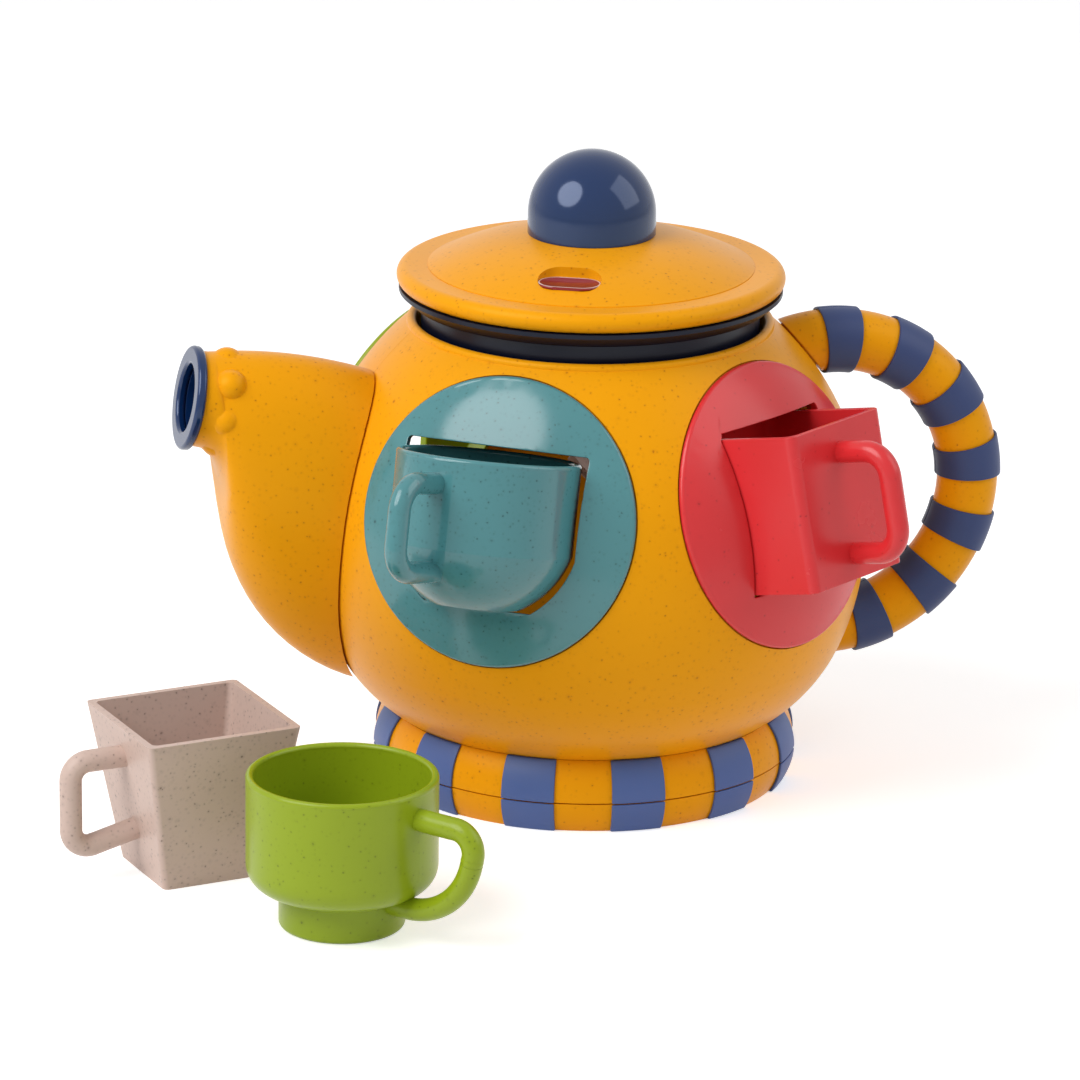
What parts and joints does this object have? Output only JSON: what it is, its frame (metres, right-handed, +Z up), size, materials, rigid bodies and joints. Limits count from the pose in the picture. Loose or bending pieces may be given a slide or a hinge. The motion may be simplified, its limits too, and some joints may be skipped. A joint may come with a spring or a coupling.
{
  "type": "toy teapot",
  "caption": "Round toy teapot with a plug lid, ringed handle and base, and posting slots in its sides for play cups with matching side views.",
  "frame": {"origin": "centre of the base's underside, on the table under the belly's axis", "axes": "+Z up along the pot's axis; the spout points to -X and the handle to +X; the front with the teal and red plates looks to -Y"},
  "size_m": [0.3135, 0.2473, 0.1981],
  "materials": {
    "orange_plastic": "glossy, fine dark specks",
    "teal_plastic": "glossy, fine dark specks",
    "red_plastic": "glossy, fine dark specks",
    "green_plastic": "glossy, fine dark specks",
    "beige_plastic": "glossy, fine brown specks",
    "navy_plastic": "glossy",
    "band_blue": "satin, worn-in colour",
    "badge_red": "glossy, left blank",
    "screw_steel": "zinc plated"
  },
  "bodies": {
    "pot": {"body_front": "orange_plastic", "body_back": "orange_plastic", "plate_teal": "teal_plastic", "plate_red": "red_plastic", "plate_green": "green_plastic", "plate_beige": "beige_plastic", "spout": "orange_plastic", "spout_ring": "navy_plastic", "handle_front": "orange_plastic", "handle_back": "orange_plastic", "handle_band_1": "band_blue", "handle_band_2": "band_blue", "handle_band_3": "band_blue", "handle_band_4": "band_blue", "handle_band_5": "band_blue", "handle_band_6": "band_blue", "handle_band_7": "band_blue", "base_ring_upper": "orange_plastic", "base_ring_lower": "orange_plastic", "base_band_1": "band_blue", "base_band_2": "band_blue", "base_band_3": "band_blue", "base_band_4": "band_blue", "base_band_5": "band_blue", "base_band_6": "band_blue", "base_band_7": "band_blue", "base_band_8": "band_blue", "base_band_9": "band_blue", "base_band_10": "band_blue", "base_band_11": "band_blue", "base_band_12": "band_blue", "base_screws": "screw_steel"},
    "lid": {"lid_plug": "navy_plastic", "lid_cover": "orange_plastic", "lid_badge": "badge_red", "lid_knob": "navy_plastic", "lid_screw": "screw_steel"},
    "teal_cup": {"cup_teal": "teal_plastic"},
    "red_cup": {"cup_red": "red_plastic"},
    "green_cup": {"cup_green": "green_plastic"},
    "beige_cup": {"cup_beige": "beige_plastic"}
  },
  "joints": [
    {"name": "lid_lift", "type": "slide", "parent": "pot", "child": "lid", "axis": [0, 0, 1], "range_m": [0, 0.12]},
    {"name": "teal_cup_slide", "type": "slide", "parent": "pot", "child": "teal_cup", "axis": [-0.5784, -0.7816, 0.2334], "range_m": [-0.028, 0.06]},
    {"name": "red_cup_slide", "type": "slide", "parent": "pot", "child": "red_cup", "axis": [0.5807, -0.7848, 0.2164], "range_m": [-0.028, 0.06]},
    {"name": "green_cup_lift", "type": "slide", "parent": "pot", "child": "green_cup", "axis": [0, 0, 1], "range_m": [0, 0.04]},
    {"name": "beige_cup_lift", "type": "slide", "parent": "pot", "child": "beige_cup", "axis": [0, 0, 1], "range_m": [0, 0.12]}
  ]
}
